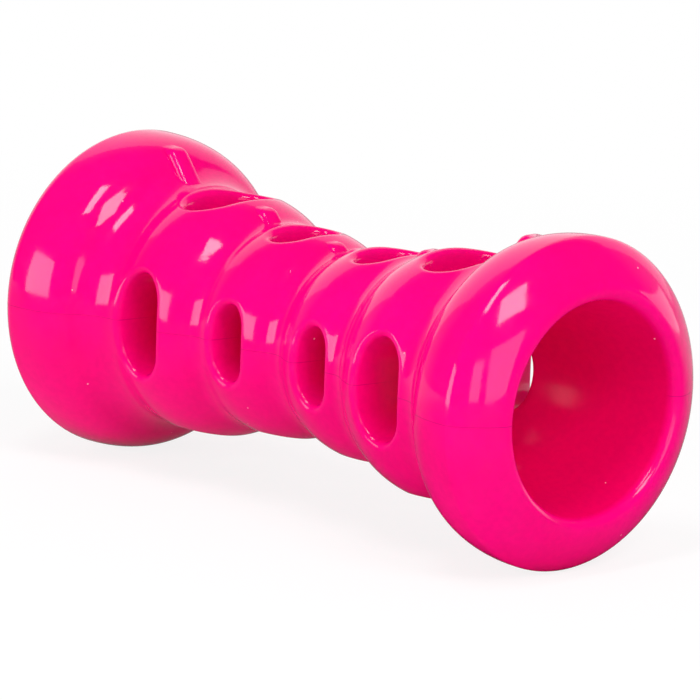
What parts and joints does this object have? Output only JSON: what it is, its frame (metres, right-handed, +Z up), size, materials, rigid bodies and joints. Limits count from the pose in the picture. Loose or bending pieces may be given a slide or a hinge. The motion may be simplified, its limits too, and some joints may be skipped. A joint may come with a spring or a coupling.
{
  "type": "rubber chew toy",
  "caption": "Hollow ribbed rubber chew toy with flared bell ends, an open bore and rounded slots on its ribs that let treats out.",
  "frame": {"origin": "on the toy's axis, half way between its two mouths", "axes": "+X along the axis towards the mouth nearer the viewer, +Z up through the top row of slots as the toy lies, seam on the plane z = 0"},
  "size_m": [0.12, 0.055, 0.055],
  "materials": {
    "pink_rubber": "glossy moulded"
  },
  "bodies": {
    "root": {"upper_half_shell": "pink_rubber", "lower_half_shell": "pink_rubber"}
  },
  "joints": []
}
